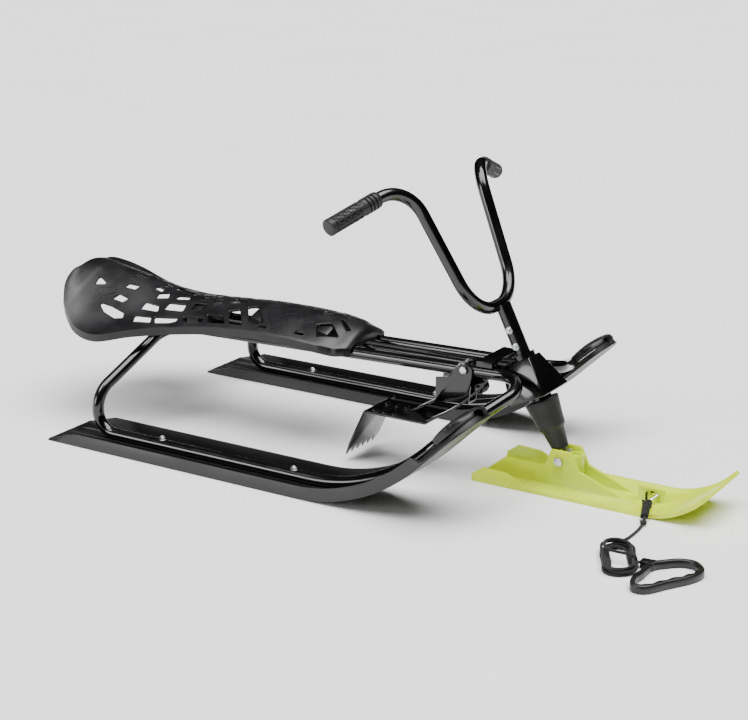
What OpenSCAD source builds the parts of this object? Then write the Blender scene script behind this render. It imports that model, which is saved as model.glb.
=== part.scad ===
// Metal snow sled: a seat on a bent tube frame, two runners, and one steered
// ski in front. Millimetres, +X forward, +Y left, +Z up, the floor at z = 0.

/* [Runners] */
// Distance between the centre lines of the two runners
runner_gauge = 447; // [360:1:520]
// Width of one runner over its flanges
runner_w = 108; // [80:1:140]
// Length of a runner's flat sole, from its rear end
runner_flat = 490; // [400:5:640]
// Radius that the upturned nose follows
nose_r = 325; // [220:5:420]
// Angle through which the nose turns up
nose_turn = 38; // [25:1:50]
// Length of the straight ramp above the nose's bend
nose_ramp = 165; // [120:5:220]
// Height of a runner's side walls
wall_h = 20; // [12:1:30]
// Wall of the moulded runner
runner_t = 3; // [2:0.5:5]

/* [Frame] */
// Outer diameter of the frame tube
tube_d = 20; // [16:0.5:25]
// Half the distance between the two top rails
rail_y = 38; // [30:1:60]
// Height of the rails at the head
rail_front_z = 181; // [150:1:220]
// Height of the rails under the tail of the seat
rail_rear_z = 160; // [120:1:200]
// Place of the head bend of the tube, from the runners' rear ends
head_bend_x = 778; // [700:2:860]
// Place of the bend on top of the rear legs
leg_top_x = 80; // [40:2:160]
// Place of the upright part of the rear legs
leg_x = 68; // [40:2:120]
// Height at which the rear legs bend inwards
leg_elbow_z = 80; // [60:2:110]
// Diameter of the middle tube
spine_d = 16; // [12:0.5:20]

/* [Seat] */
// Place of the seat's rear rim, behind the runners' rear ends
seat_back = 127; // [100:1:220]
// Length of the seat shell
seat_len = 594; // [540:2:700]
// Greatest width of the seat's tail
seat_w = 314; // [240:2:360]
// Wall of the moulded seat
seat_t = 4; // [3:0.5:6]
// Depth of the skirt round the seat's edge
skirt_h = 13; // [8:1:20]

/* [Steering] */
// Angle between the steering axis and the upright
rake = 26.3; // [15:0.1:35]
// Place where the steering axis meets the floor
axis_x = 857; // [780:1:920]
// Outer diameter of the handlebar's tube
bar_d = 20; // [16:0.5:25]
// Outer diameter of the stem
stem_d = 25; // [22:0.5:32]
// Length of a grip
grip_len = 100; // [90:1:110]
// Outer diameter of a grip
grip_d = 27; // [24:0.5:32]

/* [Ski] */
// Width of the front ski
ski_w = 126; // [100:1:160]
// Place of the ski's rear edge
ski_rear_x = 702; // [660:2:760]
// Length of the ski's flat sole
ski_flat = 288; // [240:2:360]
// Radius that the ski's tip follows
tip_r = 145; // [100:5:240]
// Angle through which the tip turns up
tip_turn = 50; // [30:1:65]
// Height of the ski's pivot above the floor
pivot_z = 45; // [36:1:60]

/* [Brake] */
// Width of the claw across the sled
claw_w = 96; // [70:1:120]
// Length of the pedal plate
pedal_len = 116; // [80:1:140]

/* [Hidden] */
$fn = 48;

// Derived sizes
half_gauge = runner_gauge / 2;
tip_x = ski_rear_x + ski_flat + tip_r * sin(tip_turn);
mid_x = (tip_x - seat_back) / 2;
sole_t = 4;
tube_z = runner_t + 1 + tube_d / 2;

// A bend is a hair fuller than its straights, which run a little way into it
bend_swell = 0.1;
bend_lap = 0.5;

black = [0.05, 0.05, 0.06];
plastic = [0.09, 0.09, 0.10];
zinc = [0.72, 0.73, 0.75];
lime = [0.80, 0.85, 0.16];

// Vector helpers
function unit(v) = v / norm(v);
function corner_angle(a, b, c) = acos(max(-1, min(1, unit(b - a) * unit(c - b))));

// Lays children drawn with +X along `side` and +Y along `ahead` at a point
module lay(at, side, ahead) {
  up = cross(side, ahead);
  multmatrix([[side.x, ahead.x, up.x, at.x],
              [side.y, ahead.y, up.y, at.y],
              [side.z, ahead.z, up.z, at.z],
              [0, 0, 0, 1]]) children();
}

// A rod from a to b
module rod(a, b, d) {
  way = b - a;
  turn = acos(way.z / norm(way));
  translate(a) rotate([0, turn, atan2(way.y, way.x)]) cylinder(d = d, h = norm(way));
}

// One bend of a tube: the corner at b is rounded with radius r
module bend(a, b, c, r, d) {
  go = unit(b - a);
  leave = unit(c - b);
  turn = corner_angle(a, b, c);
  start = b - go * r * tan(turn / 2);
  middle = b + unit(leave - go) * r / cos(turn / 2);
  lay(middle, unit(start - middle), go)
    rotate_extrude(angle = turn) translate([r, 0]) circle(d = d + bend_swell);
}

// A bent tube through the corners pts, with a bend radius for each corner
module bent_tube(pts, radii, d, closed = false) {
  n = len(pts);
  last = closed ? n - 1 : n - 2;
  function at(i) = pts[(i + n) % n];
  function cut(i) = !closed && (i == 0 || i == n - 1) ? 0
    : radii[i % n] * tan(corner_angle(at(i - 1), at(i), at(i + 1)) / 2);
  function into(i) = cut(i) > 0 ? cut(i) - bend_lap : 0;
  for (i = [0:last])
    rod(at(i) + unit(at(i + 1) - at(i)) * into(i),
        at(i + 1) - unit(at(i + 1) - at(i)) * into(i + 1), d);
  for (i = [closed ? 0 : 1:closed ? n - 1 : n - 2])
    bend(at(i - 1), at(i), at(i + 1), radii[i], d);
}

// Everything is placed from the runners' rear ends, then centred on the origin
module sled() translate([-mid_x, 0, 0]) children();

// Children drawn along +Z from the floor end of the steering axis, +X ahead
module steered() sled() translate([axis_x, 0, 0]) rotate([0, -rake, 0]) children();

// Mirrors children to the chosen side, -1 right and +1 left
module on_side(side) mirror([0, side < 0 ? 1 : 0, 0]) children();

// Side loop: leg, runner tube, nose bend and top rail in one closed tube, which
// leaves the runner inwards over its low wall, near the tip
gap_start = 27;
gap_end = 62;
loop_leave = nose_ramp - 15;
arc_r = nose_r - tube_z;
nose_way = [cos(nose_turn), 0, sin(nose_turn)];
nose_corner = [runner_flat + arc_r * tan(nose_turn / 2), half_gauge, tube_z];
loop_pts = [
  [leg_top_x, rail_y + 4, rail_rear_z],
  [leg_x, half_gauge, leg_elbow_z],
  [leg_x, half_gauge, tube_z],
  nose_corner,
  nose_corner + nose_way * (arc_r * tan(nose_turn / 2) + loop_leave),
  [head_bend_x, rail_y, rail_front_z]];
loop_radii = [45, 45, 36, arc_r, 24, 32];

module side_loop(side) color(black) sled() on_side(side)
  bent_tube(loop_pts, loop_radii, tube_d, closed = true);

module loop_right() difference() {
  side_loop(-1);
  sled() brake_hole(bolt_d);
}
module loop_left() side_loop(1);

// Middle tube between the rails, from the rear cross tube to the head
cross_x = leg_top_x + 22;
spine_rear = [cross_x + tube_d / 2, 0, rail_rear_z];
spine_front = [axis_x - 115, 0, rail_front_z - 10];
module spine_tube() color(black) sled() rod(spine_rear, spine_front, spine_d);

module cross_tube() color(black) sled() difference() {
  rod([cross_x, -rail_y, rail_rear_z + 1], [cross_x, rail_y, rail_rear_z + 1], tube_d);
  loops();
}

// Runner section: X is across, Y is up; the sole, two walls and the tube's ridges
ridge_h = tube_z - tube_d / 2 - 0.3;
module runner_section(wall, less = 0) {
  half = runner_w / 2 - less;
  top = wall - less;
  floor_z = runner_t - less;
  inner = half - 4 - runner_t + 2 * less;
  polygon([[-half, less], [half, less], [half, wall * 0.3], [half - 4, top], [inner, top],
    [inner - 1, floor_z], [26 - less, floor_z], [26 - less, ridge_h + 2 - less],
    [20 + less, ridge_h + 2 - less], [20 + less, floor_z], [5 - less, floor_z], [5 - less, ridge_h - less],
    [less - 5, ridge_h - less], [less - 5, floor_z], [-20 - less, floor_z],
    [-20 - less, ridge_h + 2 - less], [less - 26, ridge_h + 2 - less], [less - 26, floor_z],
    [runner_t - half - 2 * less, floor_z], [runner_t - half - 2 * less, top], [-half, top]]);
}

ramp_angle = 16;

// Sweeps a section along a flat sole and up round a bend
module up_nose(start, flat_end, across, r, turn) {
  translate([start, across, 0]) rotate([90, 0, 90]) linear_extrude(flat_end - start) children();
  lay([flat_end, across, r], [0, 0, -1], [1, 0, 0]) rotate_extrude(angle = turn)
    translate([r, 0]) mirror([1, 0]) rotate(-90) children();
}

// Children drawn with +X up the nose's ramp and +Z square to it, from the bend's end
module on_ramp() translate([runner_flat, half_gauge, nose_r]) rotate([0, -nose_turn, 0])
  translate([0, 0, -nose_r]) children();

// Space above the low walls of a runner's ramp
low_wall = 9;
module above_low_wall() rotate([90, 0, 0]) translate([0, 0, -runner_w]) linear_extrude(2 * runner_w)
  polygon([[gap_start, low_wall], [gap_start + 5, 60], [nose_ramp + 1, 60], [nose_ramp + 1, low_wall]]);

module runner(side) color(plastic) sled() on_side(side) {
  difference() {
    up_nose(0, runner_flat, half_gauge, nose_r, nose_turn) runner_section(wall_h);
    translate([0, half_gauge - runner_w, runner_t + 1]) rotate([0, -ramp_angle, 0])
      translate([-60, 0, 0]) cube([130, 2 * runner_w, 40]);
  }
  on_ramp() difference() {
    translate([-4, 0, 0]) rotate([90, 0, 90]) linear_extrude(nose_ramp + 4) runner_section(wall_h, 0.1);
    above_low_wall();
  }
}

module runner_right() runner(-1);
module runner_left() runner(1);

// Foot rest: a plate with side flanges on the low walls of the nose
rest_z = 27;
rest_t = 2.7;
rest_side = 23;
module foot_rest(side) color(plastic) sled() on_side(side) on_ramp() {
  outline = [[gap_end, low_wall + 0.1], [gap_end, rest_side], [nose_ramp - 14, rest_side],
    [nose_ramp - 3, rest_side - 6], [nose_ramp, low_wall + 0.1]];
  half = runner_w / 2 - 0.3;
  difference() {
    union() {
      for (flange = [-1, 1]) translate([0, flange * (half - 2) + 2, 0])
        rotate([90, 0, 0]) linear_extrude(4) polygon(outline);
      translate([gap_end, 0, 0]) rotate([90, 0, 90]) linear_extrude(nose_ramp - 14 - gap_end)
        polygon([[-half, rest_side - rest_t], [half, rest_side - rest_t], [half, rest_side],
          [half - 14, rest_z], [14 - half, rest_z], [-half, rest_side]]);
      }
    translate([gap_end - 1, -14, 0]) cube([nose_ramp, 28, tube_z + tube_d / 2 + 0.3]);
    translate([loop_leave - 28, -runner_w, 0]) cube([nose_ramp, runner_w + 12, 60]);
  }
}

module foot_rest_right() foot_rest(-1);
module foot_rest_left() foot_rest(1);

// Hex nuts with washers on the runner tubes
bolt_places = [205, runner_flat - 20];
module runner_bolts() color(zinc) sled() for (side = [-1, 1]) on_side(side)
  for (place = bolt_places) translate([place, half_gauge, tube_z + tube_d / 2]) {
    cylinder(d = 11, h = 1.2);
    cylinder(d = 10, h = 5, $fn = 6);
  }

// Seat shell. Columns: place along the length, half width, crown height, edge
// height, and how much of the section is a brim, from 0, a dome, to 1, a bell
seat_rows = [
  [0.000, 0.12, 238, 236, 0.90], [0.006, 0.33, 243, 235, 0.90], [0.025, 0.51, 243, 221, 0.90],
  [0.055, 0.73, 240, 203, 0.85], [0.083, 0.85, 236, 187, 0.80], [0.146, 0.98, 230, 164, 0.80],
  [0.229, 1.00, 219, 158, 0.75], [0.329, 0.87, 206, 170, 0.65], [0.429, 0.70, 206, 177, 0.50],
  [0.553, 0.58, 213, 184, 0.40], [0.694, 0.55, 217, 189, 0.30], [0.811, 0.54, 216, 189, 0.20],
  [0.910, 0.51, 213, 184, 0.20], [0.960, 0.46, 206, 180, 0.25], [0.988, 0.40, 200, 180, 0.20],
  [1.000, 0.34, 191, 178, 0.20]];
seat_cols = 16;
seat_fine = 2;
seat_last = len(seat_rows) - 1;
seat_count = seat_last * seat_fine + 1;

// A value of column c between rows, smooth through them
function seat_mix(k, c) =
  let (i = min(seat_last - 1, floor(k)), f = k - i,
       p = seat_rows[max(0, i - 1)][c], q = seat_rows[i][c],
       r = seat_rows[i + 1][c], s = seat_rows[min(seat_last, i + 2)][c])
  q + f * ((r - p) / 2 + f * (p - 2.5 * q + 2 * r - s / 2 + f * ((s - p) / 2 + 1.5 * (q - r))));
function seat_x(k) = seat_len * seat_mix(k, 0) - seat_back;
function seat_half(k) = seat_w / 2 * seat_mix(k, 1);
// Share of the half width of column j, closer together at the edges
function seat_t_of(j) = let (u = 2 * j / seat_cols - 1) sin(90 * u) * 0.7 + 0.3 * u;
function seat_shape(t, brim) =
  (1 - brim) * pow(max(0, cos(90 * t)), 0.75) + brim * (1 + cos(180 * t)) / 2;
function seat_point(k, t, drop) =
  [seat_x(k), seat_half(k) * t,
   seat_mix(k, 3) + (seat_mix(k, 2) - seat_mix(k, 3)) * seat_shape(t, seat_mix(k, 4)) - drop];
function seat_rim(i, j) = i == 0 || i == seat_count - 1 || j == 0 || j == seat_cols;
function seat_grid(drop, rim_drop) =
  [for (i = [0:seat_count - 1]) for (j = [0:seat_cols])
    seat_point(i / seat_fine, seat_t_of(j), seat_rim(i, j) ? rim_drop : drop)];

// A closed sheet between two grids of points, each rows by cols + 1, row by row
module sheet_between(upper, lower, rows, cols) {
  n = cols + 1;
  layer = rows * n;
  function id(i, j, k) = k * layer + i * n + j;
  function wall(a, b, c, d) = [[a, b, c], [b, d, c]];
  faces = concat(
    [for (i = [0:rows - 2]) for (j = [0:cols - 1])
      each wall(id(i, j, 0), id(i, j + 1, 0), id(i + 1, j, 0), id(i + 1, j + 1, 0))],
    [for (i = [0:rows - 2]) for (j = [0:cols - 1])
      each wall(id(i, j, 1), id(i + 1, j, 1), id(i, j + 1, 1), id(i + 1, j + 1, 1))],
    [for (i = [0:rows - 2])
      each wall(id(i, 0, 0), id(i + 1, 0, 0), id(i, 0, 1), id(i + 1, 0, 1))],
    [for (i = [0:rows - 2])
      each wall(id(i, cols, 0), id(i, cols, 1), id(i + 1, cols, 0), id(i + 1, cols, 1))],
    [for (j = [0:cols - 1])
      each wall(id(0, j, 0), id(0, j, 1), id(0, j + 1, 0), id(0, j + 1, 1))],
    [for (j = [0:cols - 1])
      each wall(id(rows - 1, j, 0), id(rows - 1, j + 1, 0), id(rows - 1, j, 1), id(rows - 1, j + 1, 1))]);
  polyhedron(concat(upper, lower), faces, convexity = 6);
}

// Half width of the seat at place x, for the openings
function seat_half_at(x) = lookup((x + seat_back) / seat_len, [for (row = seat_rows) [row[0], row[1]]])
  * seat_w / 2;
function on_seat(x, t) = [x, t * seat_half_at(x)];

// Openings of the web on one side: corners as place and share of the half width
web_cuts = [
  [[-74, 0.30], [-46, 0.34], [-69, 0.44]],
  [[-13, 0.38], [11, 0.40], [5, 0.47], [-19, 0.47]],
  [[-40, 0.57], [-9, 0.55], [23, 0.60], [30, 0.69], [14, 0.70], [-15, 0.65]],
  [[-13, 0.20], [9, 0.16], [7, 0.26], [-15, 0.28]],
  [[31, 0.03], [47, 0.03], [49, 0.13], [33, 0.12]],
  [[48, 0.16], [61, 0.06], [73, 0.22], [53, 0.29]],
  [[81, 0.08], [104, 0.03], [113, 0.19], [86, 0.22]],
  [[128, 0.03], [145, 0.03], [151, 0.13], [131, 0.14]],
  [[43, 0.38], [73, 0.41], [83, 0.56], [46, 0.52]],
  [[83, 0.31], [120, 0.33], [128, 0.55], [88, 0.50]],
  [[131, 0.27], [163, 0.30], [166, 0.48], [139, 0.52]],
  [[160, 0.11], [182, 0.10], [188, 0.30], [172, 0.38]],
  [[196, 0.03], [206, 0.03], [229, 0.20], [201, 0.26]],
  [[219, 0.05], [244, 0.12], [233, 0.19]],
  [[46, 0.63], [81, 0.67], [92, 0.84], [56, 0.78]],
  [[85, 0.67], [131, 0.71], [142, 0.88], [100, 0.86]],
  [[136, 0.68], [179, 0.71], [188, 0.88], [151, 0.88]],
  [[179, 0.62], [212, 0.64], [233, 0.89], [195, 0.89]],
  [[215, 0.50], [234, 0.42], [268, 0.89], [238, 0.89]],
  [[244, 0.34], [262, 0.24], [303, 0.74], [280, 0.89]],
  [[297, 0.79], [307, 0.77], [320, 0.90], [298, 0.90]],
  [[368, 0.76], [384, 0.75], [390, 0.89], [369, 0.89]],
  [[392, 0.50], [415, 0.34], [444, 0.68], [410, 0.84]],
  [[371, 0.06], [381, 0.03], [400, 0.05], [389, 0.17]],
  [[416, 0.10], [428, 0.10], [452, 0.36], [446, 0.46]]];

module seat_openings() for (side = [-1, 1]) on_side(side) for (cut = web_cuts)
  translate([0, 0, 120]) linear_extrude(160) polygon([for (p = cut) on_seat(p[0], p[1])]);

module seat_body() sheet_between(seat_grid(0, 0), seat_grid(seat_t, skirt_h), seat_count, seat_cols);

// The rails leave the seat through round notches in its front
module rail_notches() for (side = [-1, 1]) on_side(side) {
  front = seat_len - seat_back;
  translate([front - 70, rail_side(front), rail_at(front) + 0.5]) rotate([0, 90, 0])
    cylinder(d = tube_d + 7, h = 100);
}

module seat_shell() color(plastic) sled() difference() {
  seat_body();
  seat_openings();
  rail_notches();
}

// All the space from the seat's underside upwards
module seat_cover() sheet_between([for (p = seat_grid(0, 0)) [p.x, p.y, 400]],
  seat_grid(seat_t, skirt_h), seat_count, seat_cols);

// Saddles that carry the seat on the rails
saddle_rows = [128, 262, 396];
module seat_saddles() color(plastic) sled() difference() {
  for (place = saddle_rows) translate([place, -rail_y - 12, rail_at(place)])
    cube([24, 2 * rail_y + 24, 70]);
  loops();
  rod(spine_rear, spine_front, spine_d);
  seat_cover();
}

// Head: a folded box round the head tube, wider at its foot, with the rails let in
head_low = 150;
head_top = 224;
head_wall = 3;
head_side = [[-34, head_top], [20, head_top], [40, head_low], [-34, head_low]];
head_half = [31, 44];

// Solid of the head box, smaller by the wall `inset` on every side
module head_solid(inset) hull() for (end = [0, 1])
  translate([0, 0, end == 0 ? head_top - inset : head_low - (inset > 0 ? 1 : 0)])
    linear_extrude(0.01) polygon([
      [head_side[0].x + inset, -head_half[end] + inset], [head_side[1 + end].x - inset, -head_half[end] + inset],
      [head_side[1 + end].x - inset, head_half[end] - inset], [head_side[0].x + inset, head_half[end] - inset]]);
module loops() for (side = [-1, 1]) on_side(side)
  bent_tube(loop_pts, loop_radii, tube_d, closed = true);

module head_box() color(black) sled() difference() {
  translate([axis_x, 0, 0]) rotate([0, -rake, 0]) difference() {
    head_solid(0);
    head_solid(head_wall);
    translate([0, 0, head_low - 5]) cylinder(d = stem_d + 12.1, h = 100);
  }
  loops();
  rod(spine_rear, spine_front, spine_d);
}

module head_tube() color(black) steered() translate([0, 0, head_low]) difference() {
  cylinder(d = stem_d + 12, h = head_top - head_low + 4);
  translate([0, 0, -1]) cylinder(d = stem_d + 0.1, h = 100);
}

// Plate that ties the rails behind the head
bridge_x = head_bend_x - 80;
bridge_len = 28;
module rail_bridge() color(black) sled() difference() {
  translate([bridge_x, -rail_y - 8, rail_at(bridge_x)]) cube([bridge_len, 2 * rail_y + 16, tube_d / 2 + 6]);
  translate([bridge_x - 1, -rail_y + 12, rail_at(bridge_x) - 1])
    cube([bridge_len + 2, 2 * rail_y - 24, tube_d / 2 + 4]);
  loops();
  translate([axis_x, 0, 0]) rotate([0, -rake, 0]) cylinder(d = stem_d + 16, h = 400);
}

// Steering body
bar_low = 312;
module stem() color(black) steered() translate([0, 0, head_low - 40])
  cylinder(d = stem_d, h = bar_low - head_low + 40);

// Corners of one half of the bar: ahead of the axis, out to the side, up the axis
bar_half = [[-12, 66, bar_low + 1], [-13, 109, 542], [-72, 257, 519]];
bar_pts = concat([for (i = [2:-1:0]) [bar_half[i].x, -bar_half[i].y, bar_half[i].z]], bar_half);
bar_radii = [0, 58, 70, 70, 58, 0];
module handlebar() color(black) steered() difference() {
  bent_tube(bar_pts, bar_radii, bar_d);
  translate([0, 0, head_low]) cylinder(d = stem_d, h = bar_low - head_low);
}

module grip(side) color(plastic) steered() on_side(side) {
  end = bar_pts[5];
  back = unit(bar_pts[4] - bar_pts[5]);
  difference() {
    rod(end - back * 3, end + back * grip_len, grip_d);
    rod(end, end + back * (grip_len + 5), bar_d);
  }
}
module grip_right() grip(-1);
module grip_left() grip(1);

stem_bolt_places = [242, 270];
module stem_bolts() color(zinc) steered() for (place = stem_bolt_places)
  translate([0, 0, place]) {
    translate([0, stem_d / 2, 0]) rotate([-90, 0, 0]) cylinder(d = 11, h = 4, $fn = 6);
    translate([0, -stem_d / 2, 0]) rotate([90, 0, 0]) cylinder(d = 11, h = 5, $fn = 6);
  }

pivot_s = pivot_z / cos(rake);
knuckle_half = 13;
knuckle_d = 26;
bolt_d = 8;
module steering_shaft() color(zinc) steered() difference() {
  union() {
    translate([0, 0, pivot_s]) cylinder(d = 18, h = head_low - 40 - pivot_s);
    translate([0, knuckle_half, pivot_s]) rotate([90, 0, 0]) cylinder(d = knuckle_d, h = 2 * knuckle_half);
  }
  translate([0, 50, pivot_s]) rotate([90, 0, 0]) cylinder(d = bolt_d + 0.1, h = 100);
}

module boot() color(plastic) steered() rotate_extrude()
  polygon([[9.1, 66], [13.5, 66], [18.5, 98], [21.5, 103], [28, head_low - 4], [28, head_low - 0.3],
    [stem_d / 2 + 0.1, head_low - 0.3], [stem_d / 2 + 0.1, head_low - 6], [18, 106], [15, 101], [9.1, 72]]);

// Ski body
cheek_in = 15;
cheek_t = 6;
pivot_x = axis_x - pivot_s * sin(rake);
module ski_section() polygon([[-ski_w / 2, 0], [ski_w / 2, 0], [ski_w / 2, 7], [ski_w / 2 - 4, 7],
  [ski_w / 2 - 6, sole_t], [-ski_w / 2 + 6, sole_t], [-ski_w / 2 + 4, 7], [-ski_w / 2, 7]]);

module ski() color(lime) sled() difference() {
  union() {
    up_nose(ski_rear_x, ski_rear_x + ski_flat, 0, tip_r, tip_turn) ski_section();
    for (side = [-1, 1]) on_side(side) {
      translate([0, ski_w / 2, 0]) rotate([90, 0, 0]) linear_extrude(4)
        polygon([[ski_rear_x, 1], [ski_rear_x + 104, 1], [ski_rear_x + 92, 8],
          [ski_rear_x + 62, 24], [ski_rear_x + 20, 26], [ski_rear_x, 12]]);
      translate([0, cheek_in + cheek_t, 0]) rotate([90, 0, 0]) linear_extrude(cheek_t)
        polygon([[pivot_x - 52, 1], [pivot_x + 120, 1], [pivot_x + 34, 34], [pivot_x + 20, 62],
          [pivot_x - 14, 62], [pivot_x - 22, 40]]);
    }
    translate([pivot_x + 128, -3, 1]) cube([44, 6, 24]);
  }
  translate([pivot_x, 50, pivot_z]) rotate([90, 0, 0]) cylinder(d = bolt_d + 0.1, h = 100);
  translate([pivot_x + 152, 10, 17]) rotate([90, 0, 0]) cylinder(d = 8, h = 20);
}

module ski_bolt() color(zinc) sled() translate([pivot_x, 0, pivot_z]) rotate([90, 0, 0]) {
  translate([0, 0, -cheek_in - cheek_t]) cylinder(d = bolt_d, h = 2 * (cheek_in + cheek_t));
  translate([0, 0, cheek_in + cheek_t]) cylinder(d = 14, h = 5);
  translate([0, 0, -cheek_in - cheek_t - 6]) cylinder(d = 14, h = 6, $fn = 6);
}

// Brake body: it turns on a bolt through the right rail
function rail_at(x) = rail_rear_z + (rail_front_z - rail_rear_z) * (x - leg_top_x) / (head_bend_x - leg_top_x);
function rail_side(x) = rail_y + 4 - 4 * (x - leg_top_x) / (head_bend_x - leg_top_x);
brake_x = head_bend_x - 98;
brake_z = rail_at(brake_x);
brake_y = -rail_side(brake_x);
cheek_gap = tube_d / 2 + 0.5;
cheek_wall = 3;
pedal_x = brake_x - 162;
pedal_z = 90;
pedal_w = 76;
claw_y = -94;
claw_h = 91;
claw_lean = 25;
teeth = 6;

module brake_hole(d) translate([brake_x, brake_y + 50, brake_z]) rotate([90, 0, 0]) cylinder(d = d, h = 100);

module brake_bolt() color(zinc) sled() translate([brake_x, brake_y, brake_z]) rotate([90, 0, 0]) {
  reach = cheek_gap + cheek_wall + 0.4;
  translate([0, 0, -reach]) cylinder(d = bolt_d, h = 2 * reach);
  translate([0, 0, reach]) cylinder(d = 12, h = 5);
  translate([0, 0, -reach - 6]) cylinder(d = 13, h = 6, $fn = 6);
}

// Cheeks that straddle the rail, the spring's pin, and the slotted web to the pedal
pin_x = brake_x + 24;
pin_z = brake_z - 29;
pin_d = 8;
spring_d = 18;
module brake_arm() color(black) sled() difference() {
  union() {
    translate([0, brake_y + cheek_gap + cheek_wall, 0]) rotate([90, 0, 0]) linear_extrude(cheek_wall)
      polygon([[brake_x, brake_z + 8], [brake_x, pin_z - 8], [pin_x + 4, pin_z - 8],
        [pin_x + 8, pin_z], [pin_x + 6, pin_z + 7]]);
    translate([pin_x, brake_y + cheek_gap + cheek_wall, pin_z]) rotate([90, 0, 0])
      cylinder(d = pin_d, h = 2 * (cheek_gap + cheek_wall));
    for (plate = [-1, 1])
      translate([0, brake_y + plate * (cheek_gap + cheek_wall / 2) + cheek_wall / 2, 0])
        rotate([90, 0, 0]) linear_extrude(cheek_wall)
          polygon([[brake_x - 52, 118], [brake_x + 8, 122], [brake_x + 14, brake_z],
            [brake_x + 8, brake_z + 12], [brake_x - 8, brake_z + 12], [brake_x - 30, brake_z - 16],
            [brake_x - 52, brake_z - 20]]);
    translate([0, brake_y + cheek_gap + cheek_wall, 0]) rotate([90, 0, 0])
      linear_extrude(2 * (cheek_gap + cheek_wall))
        polygon([[brake_x - 52, 118], [brake_x + 8, 122], [brake_x + 8, 125], [brake_x - 51, 121.5],
          [pedal_x + 64, pedal_z + 3.1], [pedal_x + 74, pedal_z + 3.1]]);
  }
  brake_hole(bolt_d + 0.1);
  for (place = [0.3, 0.62])
    translate([brake_x - 52 + place * (pedal_x + 74 - brake_x + 52), brake_y, 105])
      cube([5, 14, 60], center = true);
}

// Curved flat strap from the pedal's outer corner up beside the rail
strap_w = 14;
strap_t = 3;
strap_r = 260;
strap_start = 24;
strap_turn = 30;
module brake_strap() color(black) sled()
  translate([pedal_x + pedal_len - 4, claw_y + strap_w + 4, pedal_z + strap_t])
  rotate([0, 0, 10]) rotate([90, 0, 0]) rotate(strap_start) translate([0, strap_r]) rotate(-90)
    rotate_extrude(angle = strap_turn) translate([strap_r - strap_t, 0]) square([strap_t, strap_w]);

// Pedal plate with grip bosses, and the toothed claw at its rear edge
module brake_pedal() color(black) sled() {
  translate([pedal_x, claw_y, pedal_z]) cube([pedal_len, pedal_w, 3]);
  for (i = [0:2]) for (j = [0:1]) translate([pedal_x + 17 + 18 * i, claw_y + 11 + 39 * j, pedal_z + 2])
    difference() {
      cylinder(d = 11, h = 3.5);
      translate([0, 0, 1]) cylinder(d = 6, h = 3);
    }
  step = claw_w / teeth;
  translate([pedal_x, claw_y, pedal_z + 3]) rotate([0, claw_lean, 0]) rotate([0, 90, 0])
    linear_extrude(3) polygon(concat([[0, 0], [claw_h - 22, 0]],
      [for (i = [0:teeth - 1]) each [[claw_h, step * (i + 0.35)], [claw_h - 16, step * (i + 1)]]],
      [[0, claw_w]]));
}

// Torsion spring on the pin, ahead of the near cheek
spring_turns = 6;
module brake_spring() color(zinc) sled() translate([pin_x, brake_y + cheek_gap - 0.3, pin_z])
  rotate([90, 0, 0]) for (i = [0:spring_turns - 1])
    translate([0, 0, (i + 0.5) * spring_wire]) rotate_extrude()
      translate([spring_d / 2 - spring_wire / 2, 0]) circle(d = spring_wire + 0.2);
spring_wire = 3.4;

// Tow rope
lug = [pivot_x + 152, 0, 17];
module carabiner() color(zinc) sled() translate(lug + [0, -11, -4]) rotate([20, 0, 0])
  rotate_extrude() translate([11, 0]) circle(d = 4);

rope_d = 4.5;
rope_pts = [[986, -20, 11], [990, -32, 12], [996, -46, 13], [1002, -66, 13], [1006, -76, 9],
  [1010, -90, 4], [1013, -110, 2.4], [1014, -140, 2.4], [1018, -160, 3], [1022, -182, 5]];
tail_pts = [[1058, -233, 7], [1064, -233, 7], [1070, -233, 7]];
module swept(pts, d, sides) {
  n = len(pts);
  function way(i) = unit(pts[min(n - 1, i + 1)] - pts[max(0, i - 1)]);
  function right(i) = unit(cross(way(i), [0, 0, 1]));
  function up(i) = cross(right(i), way(i));
  points = [for (i = [0:n - 1]) for (k = [0:sides - 1])
    pts[i] + d / 2 * (right(i) * cos(360 * k / sides) + up(i) * sin(360 * k / sides))];
  faces = concat(
    [for (i = [0:n - 2]) for (k = [0:sides - 1])
      [i * sides + k, i * sides + (k + 1) % sides, (i + 1) * sides + (k + 1) % sides, (i + 1) * sides + k]],
    [[for (k = [sides - 1:-1:0]) k]], [[for (k = [0:sides - 1]) (n - 1) * sides + k]]);
  polyhedron(points, faces, convexity = 4);
}

module tow_rope() color(black) sled() {
  swept(rope_pts, rope_d, 8);
  swept(tail_pts, rope_d, 8);
}

module rope_hank() color(black) sled() translate([1036, -234, 0]) rotate([0, 0, -67])
  linear_extrude(22) union() {
    square([70, 52], center = true);
    for (end = [-1, 1]) translate([35 * end, 0]) circle(d = 52);
  }

// D-shaped handle that lies flat, with finger waves along its grip
handle_h = 13;
handle_band = 9;
handle_ends = [[1101, -304, 18], [1145, -214, 17], [1096, -240, 13]];
module handle_round(shrink) hull() for (end = handle_ends)
  translate([end.x, end.y]) circle(r = end.z - shrink);
module tow_handle() color(black) sled() {
  linear_extrude(handle_h) difference() {
    union() {
      handle_round(0);
      translate([1070, -239]) square([24, 12]);
    }
    handle_round(handle_band);
  }
}

loop_right();
loop_left();
spine_tube();
head_box();
head_tube();
cross_tube();
runner_right();
runner_left();
foot_rest_right();
foot_rest_left();
runner_bolts();
seat_shell();
seat_saddles();
rail_bridge();
brake_bolt();
brake_pedal();
brake_arm();
brake_strap();
brake_spring();
stem();
handlebar();
grip_right();
grip_left();
stem_bolts();
steering_shaft();
boot();
ski();
ski_bolt();
carabiner();
tow_rope();
rope_hank();
tow_handle();
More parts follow.
